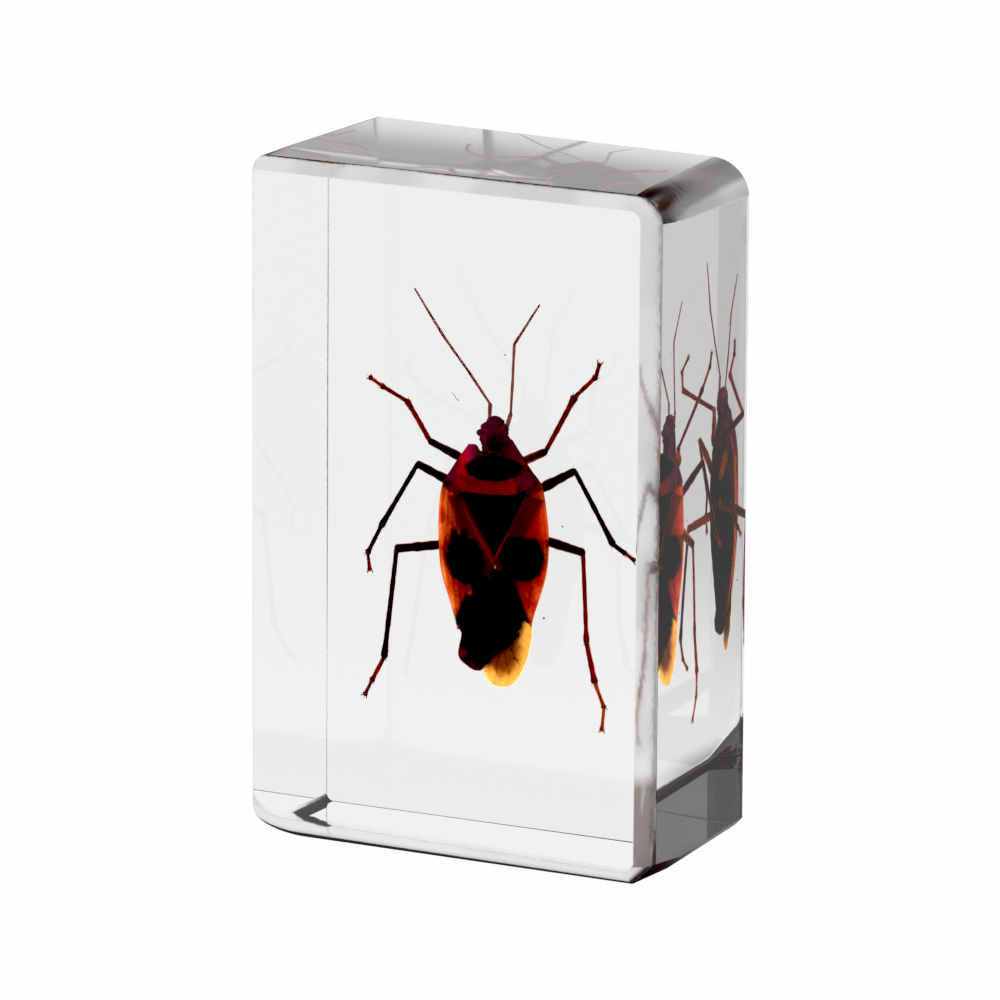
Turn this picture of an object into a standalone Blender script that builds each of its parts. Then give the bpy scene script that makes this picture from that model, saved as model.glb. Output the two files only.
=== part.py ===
"""A clear cast-resin specimen block, standing upright on its narrow end.

Metres, +Z up. The origin is at the middle of the underside and the wide front face looks along -Y.
The block is one solid casting: a tall slab that is a little irregular, because each face was ground
and polished by hand. The left, right, back and top faces lean a little, and each rim and corner has
its own rounding. The specimen is sealed inside the resin and is no solid here.
"""

import math

import bmesh
import bpy

# Driving dimensions, at the front face and at the highest corner
HEIGHT = 0.0441
WIDTH = 0.0276
DEPTH = 0.0163

# Lean of the faces: how far each one moves over the whole depth or width of the block
LEFT_IN_TOWARDS_BACK = 0.00077
RIGHT_IN_TOWARDS_BACK = 0.00024
BACK_FORWARD_TO_RIGHT = 0.00058
TOP_DOWN_TOWARDS_BACK = 0.00026
TOP_DOWN_TO_RIGHT = 0.00028

# Rounding of the outline's four corners, as seen from the front: side (-1 left, 1 right), level
# (-1 bottom, 1 top), width and height at the front face, size behind it and at the back face, and how
# far it bulges from a plain chamfer (0) to a full round (1)
CORNERS = (
    (-1, -1, 0.0032, 0.0016, 0.0005, 0.0005, 0.9),
    (1, -1, 0.0015, 0.0015, 0.0009, 0.0007, 0.1),
    (1, 1, 0.0017, 0.0017, 0.0021, 0.0024, 1.0),
    (-1, 1, 0.0009, 0.0009, 0.0007, 0.0008, 1.0),
)
CORNER_REACH = 0.0040
CORNER_STEPS = 10

# Size of the upright rims, left and right, and of the level rims at their left and right ends, each
# with its bulge
FRONT_RIM_UPRIGHT = (0.0003, 0.0011, 0.3)
FRONT_RIM_TOP = (0.0009, 0.0009, 0.6)
FRONT_RIM_BOTTOM = (0.0020, 0.0013, 1.0)
BACK_RIM_UPRIGHT = (0.00006, 0.0008, 0.6)
BACK_RIM_TOP = (0.0010, 0.0015, 0.3)
BACK_RIM_BOTTOM = (0.00006, 0.00006, 0.6)
RIM_STEPS = 6
RIM_CHANGE_AT_CORNER = 12

# Finish of the resin
RESIN_COLOUR = (0.97, 0.97, 0.96, 1.0)
RESIN_IOR = 1.566
RESIN_ROUGHNESS = 0.02


def clear_resin():
    """Water-clear casting resin with a polished surface."""
    material = bpy.data.materials.new("clear_resin")
    material.use_nodes = True
    shader = material.node_tree.nodes["Principled BSDF"]
    shader.inputs["Base Color"].default_value = RESIN_COLOUR
    shader.inputs["Metallic"].default_value = 0.0
    shader.inputs["Roughness"].default_value = RESIN_ROUGHNESS
    shader.inputs["IOR"].default_value = RESIN_IOR
    shader.inputs["Transmission Weight"].default_value = 1.0
    return material


def upright_rim(side, end):
    """Size and bulge of the left (-1) or right (1) rim of the front (-1) or back (1) face."""
    at_left, at_right, bulge = FRONT_RIM_UPRIGHT if end < 0 else BACK_RIM_UPRIGHT
    return (at_left if side < 0 else at_right), bulge


def level_rim(level, end, across):
    """Size and bulge of the bottom (-1) or top (1) rim of the front (-1) or back (1) face.

    across runs from -1 at the left end to 1 at the right end.
    """
    if end < 0:
        at_left, at_right, bulge = FRONT_RIM_BOTTOM if level < 0 else FRONT_RIM_TOP
    else:
        at_left, at_right, bulge = BACK_RIM_BOTTOM if level < 0 else BACK_RIM_TOP
    return at_left + (at_right - at_left) * (across + 1) / 2, bulge


def inset(rim, turn):
    """How far in from the block's side a rim is at one turn."""
    size, bulge = rim
    flat = turn / (math.pi / 2)
    return size * (1 - flat - bulge * (math.sin(turn) - flat))


def sink(rim, turn):
    """How far back from the block's face a rim is at one turn."""
    size, bulge = rim
    flat = turn / (math.pi / 2)
    return size * (flat + bulge * (1 - math.cos(turn) - flat))


def sink_at(place, end, turn):
    """The sink changes from one side's to the next one's at the corner between them."""
    across = place.x / (WIDTH / 2)
    up = place.z / (HEIGHT / 2) - 1
    across_share = abs(across) ** RIM_CHANGE_AT_CORNER
    up_share = abs(up) ** RIM_CHANGE_AT_CORNER
    total = across_share * sink(upright_rim(across, end), turn)
    total += up_share * sink(level_rim(up, end, across), turn)
    return total / (across_share + up_share)


def outline(bm, turn, end, behind_corners=False):
    """One rounded rectangle round the block, on the rim of the front (-1) or back (1) face.

    turn runs from 0, on the face, to a right angle, on the sides. behind_corners gives the outline just
    behind the large front corners instead.
    """
    corners = []
    for side, level, *_ in CORNERS:
        x = side * (WIDTH / 2 - inset(upright_rim(side, end), turn))
        z = HEIGHT / 2 + level * (HEIGHT / 2 - inset(level_rim(level, end, side), turn))
        corners.append(bm.verts.new((x, 0.0, z)))
    bm.faces.new(corners)
    before = set(bm.verts) - set(corners)

    for vertex, (side, level, wide, high, middle, at_back, bulge) in zip(corners, CORNERS):
        if behind_corners:
            wide = high = middle
        elif end > 0:
            wide = high = at_back
        rim = (inset(upright_rim(side, end), turn) + inset(level_rim(level, end, side), turn)) / 2
        size = wide - rim * wide / max(wide, high)
        point = vertex.co.copy()
        rounded = bmesh.ops.bevel(
            bm,
            geom=[vertex],
            offset=size,
            segments=CORNER_STEPS,
            profile=0.5,
            affect="VERTICES",
            material=-1,
        )
        for new in rounded["verts"]:
            short = 1 - (abs(new.co.x - point.x) + abs(new.co.z - point.z)) / size
            new.co.x -= side * (1 - bulge) * short * size / 2
            new.co.z -= level * (1 - bulge) * short * size / 2
            new.co.z = point.z + (new.co.z - point.z) * high / wide

    ring = [vertex for vertex in bm.verts if vertex not in before]
    for vertex in ring:
        vertex.co.y = end * (DEPTH / 2 - sink_at(vertex.co, end, turn))
        if behind_corners:
            vertex.co.y += CORNER_REACH
    return ring[0].link_faces[0]


def lean_faces(bm):
    """Tilts the left, right, back and top faces. The front and the underside stay as they are."""
    for vertex in bm.verts:
        place = vertex.co
        place.y -= BACK_FORWARD_TO_RIGHT * place.x / WIDTH * (place.y / DEPTH + 0.5)
        back = place.y / DEPTH + 0.5
        right = place.x / WIDTH + 0.5
        place.x += LEFT_IN_TOWARDS_BACK * back * (1 - right) - RIGHT_IN_TOWARDS_BACK * back * right
        drop = TOP_DOWN_TOWARDS_BACK * back + TOP_DOWN_TO_RIGHT * (place.x / WIDTH + 0.5)
        place.z -= drop * place.z / HEIGHT


def centre_on_origin(bm):
    """Moves the block so that its box stands centred on the origin."""
    low_x, high_x = min(v.co.x for v in bm.verts), max(v.co.x for v in bm.verts)
    low_y, high_y = min(v.co.y for v in bm.verts), max(v.co.y for v in bm.verts)
    shift = (-(low_x + high_x) / 2, -(low_y + high_y) / 2, 0.0)
    bmesh.ops.translate(bm, vec=shift, verts=bm.verts[:])


def resin_block():
    bm = bmesh.new()
    turns = [math.pi / 2 * step / RIM_STEPS for step in range(RIM_STEPS + 1)]
    rings = [outline(bm, turn, -1) for turn in turns]
    rings.append(outline(bm, turns[-1], -1, behind_corners=True))
    rings += [outline(bm, turn, 1) for turn in reversed(turns)]

    # Each pair of neighbouring outlines is joined by a band, and only the two end faces stay
    loops = [face.edges[:] for face in rings]
    bmesh.ops.delete(bm, geom=rings[1:-1], context="FACES_ONLY")
    for first, second in zip(loops, loops[1:]):
        bmesh.ops.bridge_loops(bm, edges=first + second)
    lean_faces(bm)
    centre_on_origin(bm)
    bmesh.ops.recalc_face_normals(bm, faces=bm.faces[:])

    mesh = bpy.data.meshes.new("resin_block")
    bm.to_mesh(mesh)
    bm.free()
    mesh.materials.append(clear_resin())
    mesh.shade_smooth()
    for face in mesh.polygons:
        face.use_smooth = face.loop_total == 4
    block = bpy.data.objects.new("resin_block", mesh)
    bpy.context.collection.objects.link(block)
    return block


for old in list(bpy.data.objects):
    bpy.data.objects.remove(old, do_unlink=True)

resin_block()
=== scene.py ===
"""A dried red bug sealed in an upright block of clear cast resin.

The block stands on a pale table in soft light that comes mostly from behind it, so that the bug glows
where its wings are thin and is dark where it is thick. All sizes are in millimetres until a piece is
finished, and in metres from there on.
"""

import math

import bmesh
import bpy
from mathutils import Matrix, Vector, noise
from mathutils.kdtree import KDTree


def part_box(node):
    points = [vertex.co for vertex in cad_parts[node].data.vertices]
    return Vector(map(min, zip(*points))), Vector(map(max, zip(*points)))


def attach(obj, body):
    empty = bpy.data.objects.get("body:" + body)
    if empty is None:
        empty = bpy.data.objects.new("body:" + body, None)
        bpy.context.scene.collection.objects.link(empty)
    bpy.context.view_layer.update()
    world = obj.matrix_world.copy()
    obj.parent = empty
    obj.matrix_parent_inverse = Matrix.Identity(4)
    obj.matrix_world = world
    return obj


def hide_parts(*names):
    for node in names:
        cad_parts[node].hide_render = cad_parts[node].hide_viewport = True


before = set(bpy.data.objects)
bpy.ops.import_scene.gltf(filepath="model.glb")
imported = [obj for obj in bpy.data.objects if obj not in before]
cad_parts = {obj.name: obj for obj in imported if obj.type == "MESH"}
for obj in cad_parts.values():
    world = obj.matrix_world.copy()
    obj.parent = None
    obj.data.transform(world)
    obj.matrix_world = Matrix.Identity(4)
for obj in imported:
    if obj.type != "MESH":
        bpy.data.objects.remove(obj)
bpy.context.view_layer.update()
MM = 0.001
block_low, block_high = (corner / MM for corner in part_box("resin_block"))


# ----------------------------------------
# Camera. A long lens about half a metre from the block, turned a quarter of the way round to the
# right face and a little above it. The picture is square.
# ----------------------------------------
VIEW_AZIMUTH = math.radians(24.39)
VIEW_ELEVATION = math.radians(14.0)
VIEW_ROLL = math.radians(0.42)
VIEW_DISTANCE = 503.1
VIEW_SHIFT_RIGHT = -0.25
VIEW_SHIFT_UP = -0.35
LENS = 287.5
SENSOR = 36.0
# what the lens sees, in metres
NEAREST_SEEN = 0.01
FARTHEST_SEEN = 50

block_middle = (block_low + block_high) / 2
backward = Vector((
    math.sin(VIEW_AZIMUTH) * math.cos(VIEW_ELEVATION),
    -math.cos(VIEW_AZIMUTH) * math.cos(VIEW_ELEVATION),
    math.sin(VIEW_ELEVATION),
))
rightward = Vector((math.cos(VIEW_AZIMUTH), math.sin(VIEW_AZIMUTH), 0))
upward = backward.cross(rightward)
eye = block_middle + rightward * VIEW_SHIFT_RIGHT + upward * VIEW_SHIFT_UP + backward * VIEW_DISTANCE
rolled_right = rightward * math.cos(VIEW_ROLL) + upward * math.sin(VIEW_ROLL)
rolled_up = upward * math.cos(VIEW_ROLL) - rightward * math.sin(VIEW_ROLL)

camera = bpy.data.objects.new("camera", bpy.data.cameras.new("camera"))
camera.data.sensor_width = SENSOR
camera.data.lens = LENS
camera.data.clip_start = NEAREST_SEEN
camera.data.clip_end = FARTHEST_SEEN
turned = Matrix((rolled_right, rolled_up, backward)).transposed().to_4x4()
camera.matrix_world = Matrix.Translation(eye * MM) @ turned
bpy.context.scene.collection.objects.link(camera)
bpy.context.scene.camera = camera


# ----------------------------------------
# Studio. A pale table, a white panel behind the block, and a dark room round the camera. Straight rays
# from the camera meet plain white. The print is a little harder than the scene.
# ----------------------------------------
# the gap under the block in millimetres, and the table's length in metres
TABLE_GAP = 0.04
TABLE_SIZE = 8.0
# how bright the table is in each place, and how much of it shows in the outside of the block. The table's
# light is
# painted: a painted pool of light just in front of the block and a painted shadow under its front
TABLE_BEHIND = 0.92
TABLE_FAR_IN_FRONT = 0.62
TABLE_LIGHT_POOL_NEAR = 1.0
TABLE_PAINTED_SHADOW_FRONT = 0.15
TABLE_UNDER_BACK = 0.90
TABLE_SEEN = 0.985
REFLECTION_CUT = 0.48
# where the table changes, in metres from the middle of the block's foot, and at last in half feet
NEAR_TO_FAR = (0.012, 0.080)
FRONT_TO_BEHIND = (-0.012, 0.010)
UNDER_FRONT_TO_BACK = (-0.004, 0.006)
FOOT_HALF_WIDTH = 0.0128
FOOT_HALF_DEPTH = 0.0073
FOOT_TO_OPEN = (1.00, 1.30)
# a little matt white under the glow, so that the table takes some light of its own
CHALK = (0.055, 0.050)
CHALK_SPOTS = 3.0
# the room, and the light that comes through the bug, in front of the block and behind it
SKY_ROUND = 0.10
SKY_BEHIND = 1.20
SKY_SEEN = 1.1
BUG_LIGHT_FRONT = 0.12
BUG_LIGHT_BEHIND = 24.0
# the panel's edges, as parts of a ray's direction towards the back and upwards
ROOM_TO_PANEL = (0.30, 0.80)
PANEL_TOP = (0.28, 0.36)
BUG_LIGHT_TURN = (0.0, 0.5)
# a ray that has crossed three surfaces has come through the bug, and one that has crossed none is outside
THREE_CROSSED = (2.4, 2.6)
ONE_CROSSED = (0.4, 0.6)
PRINT_BLACK = 0.031


class Paint:
    """The nodes of a material or of the sky, with short calls that add to them."""

    def __init__(self, owner):
        owner.use_nodes = True
        self.owner = owner
        self.nodes = owner.node_tree.nodes
        self.links = owner.node_tree.links
        self.nodes.clear()

    def add(self, kind, inputs=(), **settings):
        """The outputs of a new node. inputs pairs its sockets with the values or outputs that feed them."""
        node = self.nodes.new("ShaderNode" + kind)
        for setting, value in settings.items():
            setattr(node, setting, value)
        for name, value in dict(inputs).items():
            socket = node.inputs[name]
            if isinstance(value, bpy.types.NodeSocket):
                self.links.new(value, socket)
            elif socket.type == "RGBA":
                socket.default_value = (*value, 1)
            else:
                socket.default_value = value
        return node.outputs

    def math(self, operation, *values):
        return self.add("Math", enumerate(values), operation=operation)[0]

    def times(self, first, second):
        return self.math("MULTIPLY", first, second)

    def vector(self, operation, first, second=(0, 0, 0)):
        outputs = self.add("VectorMath", {0: first, 1: second}, operation=operation)
        return outputs["Value" if operation in ("DOT_PRODUCT", "LENGTH") else "Vector"]

    def change(self, value, low, high, at_low=0, at_high=1):
        """A smooth change from at_low, where the value is low, to at_high, where it is high."""
        ends = {"Value": value, "From Min": low, "From Max": high, "To Min": at_low, "To Max": at_high}
        return self.add("MapRange", ends, interpolation_type="SMOOTHSTEP")["Result"]

    def mix(self, share, first, second):
        """A number between two others."""
        return self.add("Mix", {0: share, 2: first, 3: second})[0]

    def blend(self, share, first, second):
        """A colour between two others."""
        return self.add("Mix", {0: share, 6: first, 7: second}, data_type="RGBA")[2]

    def cloud(self, place, scale, detail=2):
        """Soft spots, from 0 to 1 round a half."""
        return self.add("TexNoise", {"Vector": place, "Scale": scale, "Detail": detail})["Fac"]

    def layer(self, name):
        """A number that each point of the piece has."""
        return self.add("Attribute", attribute_name=name)["Fac"]

    def finished(self, shader, output="OutputMaterial"):
        self.add(output, {"Surface": shader})
        return self.owner


def studio_sky():
    """A white panel behind the block in a dark room.

    Light that comes through thin parts of the bug has crossed three surfaces or more. The panel is much
    stronger for it than for light that only crosses the resin, as for a bug lit through by a spotlight.
    """
    sky = Paint(bpy.data.worlds.new("studio_sky"))
    way = sky.add("SeparateXYZ", {0: sky.add("TexCoord")["Generated"]})
    panel = sky.times(sky.change(way["Y"], *ROOM_TO_PANEL), sky.change(way["Z"], *PANEL_TOP, 1, 0))
    room = sky.change(panel, 0, 1, SKY_ROUND, SKY_BEHIND)
    through_bug = sky.change(way["Y"], *BUG_LIGHT_TURN, BUG_LIGHT_FRONT, BUG_LIGHT_BEHIND)
    path = sky.add("LightPath")
    lit = sky.mix(sky.change(path["Transmission Depth"], *THREE_CROSSED), room, through_bug)
    strength = sky.mix(path["Is Camera Ray"], lit, SKY_SEEN)
    return sky.finished(sky.add("Background", {"Strength": strength})[0], "OutputWorld")


def finish(name, bm, *materials, smooth=True):
    """Turns a millimetre bmesh into a finished piece at its place, in metres."""
    bmesh.ops.scale(bm, vec=(MM, MM, MM), verts=bm.verts)
    mesh = bpy.data.meshes.new(name)
    bm.to_mesh(mesh)
    bm.free()
    for material in materials:
        mesh.materials.append(material)
    if smooth:
        mesh.shade_smooth()
    piece = bpy.data.objects.new(name, mesh)
    bpy.context.scene.collection.objects.link(piece)
    return piece


def table_paint():
    """A white table with painted light: bright behind the block, a painted pool of light in front, a painted
    shadow under.

    Where the table is seen reflected in the outside of the block, it is painted dimmer.
    """
    paint = Paint(bpy.data.materials.new("table_paint"))
    place = paint.add("TexCoord")["Object"]
    behind = paint.vector("DOT_PRODUCT", place, (0, 1, 0))
    away = paint.vector("LENGTH", place)
    # painted pool of light on the table just in front of the block, fading further off
    light_pool_in_front = paint.change(away, *NEAR_TO_FAR, TABLE_LIGHT_POOL_NEAR, TABLE_FAR_IN_FRONT)
    lit = paint.mix(paint.change(behind, *FRONT_TO_BEHIND), light_pool_in_front, TABLE_BEHIND)
    feet = paint.vector("MULTIPLY", place, (1 / FOOT_HALF_WIDTH, 1 / FOOT_HALF_DEPTH, 0))
    feet = paint.add("SeparateXYZ", {0: paint.vector("ABSOLUTE", feet)})
    # painted shadow under the block and a little past its foot, darkest under its front
    in_open = paint.change(paint.math("MAXIMUM", feet["X"], feet["Y"]), *FOOT_TO_OPEN)
    under = paint.change(behind, *UNDER_FRONT_TO_BACK, TABLE_PAINTED_SHADOW_FRONT, TABLE_UNDER_BACK)
    path = paint.add("LightPath")
    seen = path["Is Camera Ray"]
    # the table is painted dimmer where it is seen reflected in the outside of the block
    inside = paint.change(path["Transmission Depth"], *ONE_CROSSED, REFLECTION_CUT, 1)
    lit = paint.times(paint.mix(in_open, under, lit), inside)
    glow = paint.add("Emission", {"Strength": paint.mix(seen, lit, TABLE_SEEN)})[0]
    chalk = paint.change(paint.cloud(place, CHALK_SPOTS), 0, 1, *CHALK)
    coat = paint.add("BsdfDiffuse", {"Color": paint.mix(seen, 0, chalk)})[0]
    return paint.finished(paint.add("AddShader", {0: glow, 1: coat})[0])


bpy.context.scene.world = studio_sky()
view = bpy.context.scene.view_settings
view.view_transform = "Standard"
view.use_curve_mapping = True
view.curve_mapping.black_level = (PRINT_BLACK, PRINT_BLACK, PRINT_BLACK)
bm = bmesh.new()
bmesh.ops.create_grid(bm, x_segments=1, y_segments=1, size=TABLE_SIZE / 2 / MM,
                      matrix=Matrix.Translation((0, 0, -TABLE_GAP)))
table = finish("table", bm, table_paint(), smooth=False)


# ----------------------------------------
# Resin block. Polyester resin cast in a mould with the bug in it, then ground and polished by hand,
# so that its faces lean a little and each rim has its own rounding. It stands for the CAD block.
# ----------------------------------------
RESIN_IOR = 1.566
HEIGHT = 44.1
WIDTH = 27.6
DEPTH = 16.3
LEFT_IN_TOWARDS_BACK = 0.77
RIGHT_IN_TOWARDS_BACK = 0.24
BACK_FORWARD_TO_RIGHT = 0.58
TOP_DOWN_TOWARDS_BACK = 0.26
TOP_DOWN_TO_RIGHT = 0.28
# side (-1 left, 1 right), level (-1 bottom, 1 top), width and height at the front face, size behind it
# and at the back face, and how far it bulges from a plain chamfer (0) to a full round (1)
CORNERS = (
    (-1, -1, 3.2, 1.6, 0.5, 0.5, 0.9),
    (1, -1, 1.5, 1.5, 0.9, 0.7, 0.1),
    (1, 1, 1.7, 1.7, 2.1, 2.4, 1.0),
    (-1, 1, 0.9, 0.9, 0.7, 0.8, 1.0),
)
CORNER_REACH = 4.0
CORNER_STEPS = 30
# size of the upright rims, left and right, and of the level rims at their left and right ends, each with
# its bulge
FRONT_RIM_UPRIGHT = (0.3, 1.1, 0.3)
FRONT_RIM_TOP = (0.9, 0.9, 0.6)
FRONT_RIM_BOTTOM = (2.0, 1.3, 1.0)
BACK_RIM_UPRIGHT = (0.02, 0.8, 0.6)
BACK_RIM_TOP = (1.0, 1.5, 0.3)
BACK_RIM_BOTTOM = (0.02, 0.02, 0.6)
RIM_STEPS = 20
RIM_CHANGE_AT_CORNER = 12
# only the flat sides have faces this large, in square metres
BIG_FACE = 10e-6
# the rims are worn, but polished again low down in front, and the top face is a little dull. The rims'
# blotchy grey tint is painted shade, and so is the darker tint where the front rims face down
RIM_ROUGHNESS = 0.22
TOP_ROUGHNESS = 0.06
POLISHED_WEAR = 0.4
POLISHED_BELOW_LEFT = 2.1
POLISHED_BELOW_RIGHT = 1.4
TOP_FACING = 0.8
RESIN_CLEAR = (0.985, 0.985, 0.98)
RIM_PAINTED_SHADE_PALE = (0.80, 0.795, 0.79)
RIM_PAINTED_SHADE_DEEP = (0.58, 0.575, 0.57)
RIM_SHADE = (0.17, 0.165, 0.16)
SHADE_FACING_DOWN = (0.45, 0.90)
# painted shade in dark streaks at the foot of the right front rim: it ends at this height and starts at this
# x, in metres
FOOT_SHADE_PALE = (0.45, 0.41, 0.38)
FOOT_SHADE_DARK = (0.12, 0.09, 0.08)
FOOT_SHADE_TOP = (0.0064, 0.0078)
FOOT_SHADE_LEFT = (0.0118, 0.0126)
# patterns in the skin: how many to the metre, and how deep they are
WAVES = 160
STREAKS = 1200
STREAK_STRETCH = (1, 1, 0.15)
FACETS = 1800
PATTERN_EDGE = (0.4, 0.6)
WAVE_STRENGTH = 0.02
WORN_STRENGTH = 0.12
BUMP_DEPTH = 0.0002


def upright_rim(side, end):
    at_left, at_right, bulge = FRONT_RIM_UPRIGHT if end < 0 else BACK_RIM_UPRIGHT
    return (at_left if side < 0 else at_right), bulge


def level_rim(level, end, across):
    if end < 0:
        at_left, at_right, bulge = FRONT_RIM_BOTTOM if level < 0 else FRONT_RIM_TOP
    else:
        at_left, at_right, bulge = BACK_RIM_BOTTOM if level < 0 else BACK_RIM_TOP
    return at_left + (at_right - at_left) * (across + 1) / 2, bulge


def inset(rim, turn):
    """How far in from the block's side a rim is at one turn."""
    size, bulge = rim
    flat = turn / math.radians(90)
    return size * (1 - flat - bulge * (math.sin(turn) - flat))


def sink(rim, turn):
    """How far back from the block's face a rim is at one turn."""
    size, bulge = rim
    flat = turn / math.radians(90)
    return size * (flat + bulge * (1 - math.cos(turn) - flat))


def sink_at(spot, end, turn):
    """The sink changes from one side's to the next one's at the corner between them."""
    across = spot.x / (WIDTH / 2)
    up = spot.z / (HEIGHT / 2) - 1
    across_share = abs(across) ** RIM_CHANGE_AT_CORNER
    up_share = abs(up) ** RIM_CHANGE_AT_CORNER
    total = across_share * sink(upright_rim(across, end), turn)
    total += up_share * sink(level_rim(up, end, across), turn)
    return total / (across_share + up_share)


def block_outline(bm, turn, end, behind_corners=False):
    """One rounded rectangle on the rim of the front (-1) or back (1) face.

    turn runs from 0, on the face, to a right angle, on the sides. behind_corners gives the outline just
    behind the large front corners instead.
    """
    corners = []
    for side, level, *_ in CORNERS:
        x = side * (WIDTH / 2 - inset(upright_rim(side, end), turn))
        z = HEIGHT / 2 + level * (HEIGHT / 2 - inset(level_rim(level, end, side), turn))
        corners.append(bm.verts.new((x, 0, z)))
    bm.faces.new(corners)
    before = set(bm.verts) - set(corners)
    for vert, (side, level, wide, high, middle, at_back, bulge) in zip(corners, CORNERS):
        if behind_corners:
            wide = high = middle
        elif end > 0:
            wide = high = at_back
        rim = (inset(upright_rim(side, end), turn) + inset(level_rim(level, end, side), turn)) / 2
        size = wide - rim * wide / max(wide, high)
        point = vert.co.copy()
        made = bmesh.ops.bevel(bm, geom=[vert], offset=size, segments=CORNER_STEPS,
                               profile=0.5, affect="VERTICES", material=-1)["verts"]
        for new in made:
            short = 1 - (abs(new.co.x - point.x) + abs(new.co.z - point.z)) / size
            new.co.x -= side * (1 - bulge) * short * size / 2
            new.co.z -= level * (1 - bulge) * short * size / 2
            new.co.z = point.z + (new.co.z - point.z) * high / wide
    ring = [vert for vert in bm.verts if vert not in before]
    for vert in ring:
        vert.co.y = end * (DEPTH / 2 - sink_at(vert.co, end, turn))
        if behind_corners:
            vert.co.y += CORNER_REACH
    return ring[0].link_faces[0]


def lean_faces(bm):
    """Tilts the left, right, back and top faces. The front and the underside stay as they are."""
    for vert in bm.verts:
        spot = vert.co
        spot.y -= BACK_FORWARD_TO_RIGHT * spot.x / WIDTH * (spot.y / DEPTH + 0.5)
        back = spot.y / DEPTH + 0.5
        right = spot.x / WIDTH + 0.5
        spot.x += LEFT_IN_TOWARDS_BACK * back * (1 - right) - RIGHT_IN_TOWARDS_BACK * back * right
        drop = TOP_DOWN_TOWARDS_BACK * back + TOP_DOWN_TO_RIGHT * (spot.x / WIDTH + 0.5)
        spot.z -= drop * spot.z / HEIGHT


def clear_resin():
    """Water-clear resin: the faces are polished with fine waves, and the rims are a little duller and tinted
    with painted shade.
    """
    resin = Paint(bpy.data.materials.new("clear_resin"))
    place = resin.add("TexCoord")["Object"]
    spot = resin.add("SeparateXYZ", {0: place})
    rim, down, top = (resin.layer(name) for name in ("rim", "down", "top"))
    waves = resin.cloud(place, WAVES)
    streaks = resin.cloud(resin.vector("MULTIPLY", place, STREAK_STRETCH), STREAKS)
    rim_painted_shade = resin.blend(resin.change(waves, *PATTERN_EDGE), RIM_PAINTED_SHADE_PALE, RIM_PAINTED_SHADE_DEEP)
    foot_shade = resin.blend(resin.change(streaks, *PATTERN_EDGE), FOOT_SHADE_DARK, FOOT_SHADE_PALE)
    # painted shade at the foot of the right front rim
    at_foot = resin.times(resin.change(spot["Z"], *FOOT_SHADE_TOP, 1, 0), resin.change(spot["X"], *FOOT_SHADE_LEFT))
    # the rims take a blotchy grey tint of painted shade, with darker painted streaks at the right front rim's
    # foot
    colour = resin.blend(rim, RESIN_CLEAR, resin.blend(at_foot, rim_painted_shade, foot_shade))
    # painted shade, darker where the front rims face down
    colour = resin.blend(resin.change(down, *SHADE_FACING_DOWN), colour, RIM_SHADE)
    waved = {"Strength": WAVE_STRENGTH, "Distance": BUMP_DEPTH, "Height": waves}
    faceted = {
        "Strength": resin.change(rim, 0, 1, 0, WORN_STRENGTH),
        "Distance": BUMP_DEPTH,
        "Height": resin.cloud(place, FACETS),
        "Normal": resin.add("Bump", waved)[0],
    }
    rim_rough = resin.change(rim, 0, 1, 0, RIM_ROUGHNESS)
    top_rough = resin.change(top, 0, 1, 0, TOP_ROUGHNESS)
    surface = {
        "Base Color": colour,
        "Roughness": resin.math("MAXIMUM", rim_rough, top_rough),
        "IOR": RESIN_IOR,
        "Transmission Weight": 1.0,
        "Normal": resin.add("Bump", faceted)[0],
    }
    return resin.finished(resin.add("BsdfPrincipled", surface)[0])


bm = bmesh.new()
turns = [math.pi / 2 * step / RIM_STEPS for step in range(RIM_STEPS + 1)]
rings = [block_outline(bm, turn, -1) for turn in turns]
rings.append(block_outline(bm, turns[-1], -1, behind_corners=True))
rings += [block_outline(bm, turn, 1) for turn in reversed(turns)]
loops = [face.edges[:] for face in rings]
bmesh.ops.delete(bm, geom=rings[1:-1], context="FACES_ONLY")
for first, second in zip(loops, loops[1:]):
    bmesh.ops.bridge_loops(bm, edges=first + second)
lean_faces(bm)
middle_x = (min(vert.co.x for vert in bm.verts) + max(vert.co.x for vert in bm.verts)) / 2
middle_y = (min(vert.co.y for vert in bm.verts) + max(vert.co.y for vert in bm.verts)) / 2
bmesh.ops.translate(bm, vec=(-middle_x, -middle_y, 0), verts=bm.verts)
bmesh.ops.recalc_face_normals(bm, faces=bm.faces[:])
rim_layer, rim_down_shade_layer, top_layer = (bm.verts.layers.float.new(name) for name in ("rim", "down", "top"))
for vert in bm.verts:
    vert[top_layer] = 1 if vert.normal.z > TOP_FACING else 0
    on_rim = all(face.calc_area() * MM * MM < BIG_FACE for face in vert.link_faces)
    polished_below = POLISHED_BELOW_LEFT if vert.co.x < 0 else POLISHED_BELOW_RIGHT
    polished = vert.co.y < 0 and vert.co.z < polished_below
    vert[rim_layer] = (POLISHED_WEAR if polished else 1) if on_rim else 0
    # how far a front rim faces down, for its painted shade
    vert[rim_down_shade_layer] = max(0.0, -vert.normal.z) if on_rim and vert.co.y < 0 else 0
block = finish("block", bm, clear_resin())
for face in block.data.polygons:
    face.use_smooth = face.area < BIG_FACE
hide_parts("resin_block")
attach(block, "root")


# ----------------------------------------
# Trunk of the bug. Thorax and abdomen in one closed skin, flattened as it dried, and thin enough to glow
# red against the light. The whole bug is laid out on a plan of its own, in millimetres: u to its right,
# v towards its head, w out of its back.
# ----------------------------------------
BUG_MIDDLE = Vector((0.0, 3.37, 18.52))
BUG_ROLL = math.radians(5.0)
BUG_LEAN = math.radians(2.5)
BUG_TIP = math.radians(0.6)
BUG_PLACE = (
    Matrix.Translation(BUG_MIDDLE)
    @ Matrix.Rotation(BUG_ROLL, 4, "Z")
    @ Matrix.Rotation(math.radians(90) - BUG_TIP, 4, "X")
    @ Matrix.Rotation(BUG_LEAN, 4, "Z")
)

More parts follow.
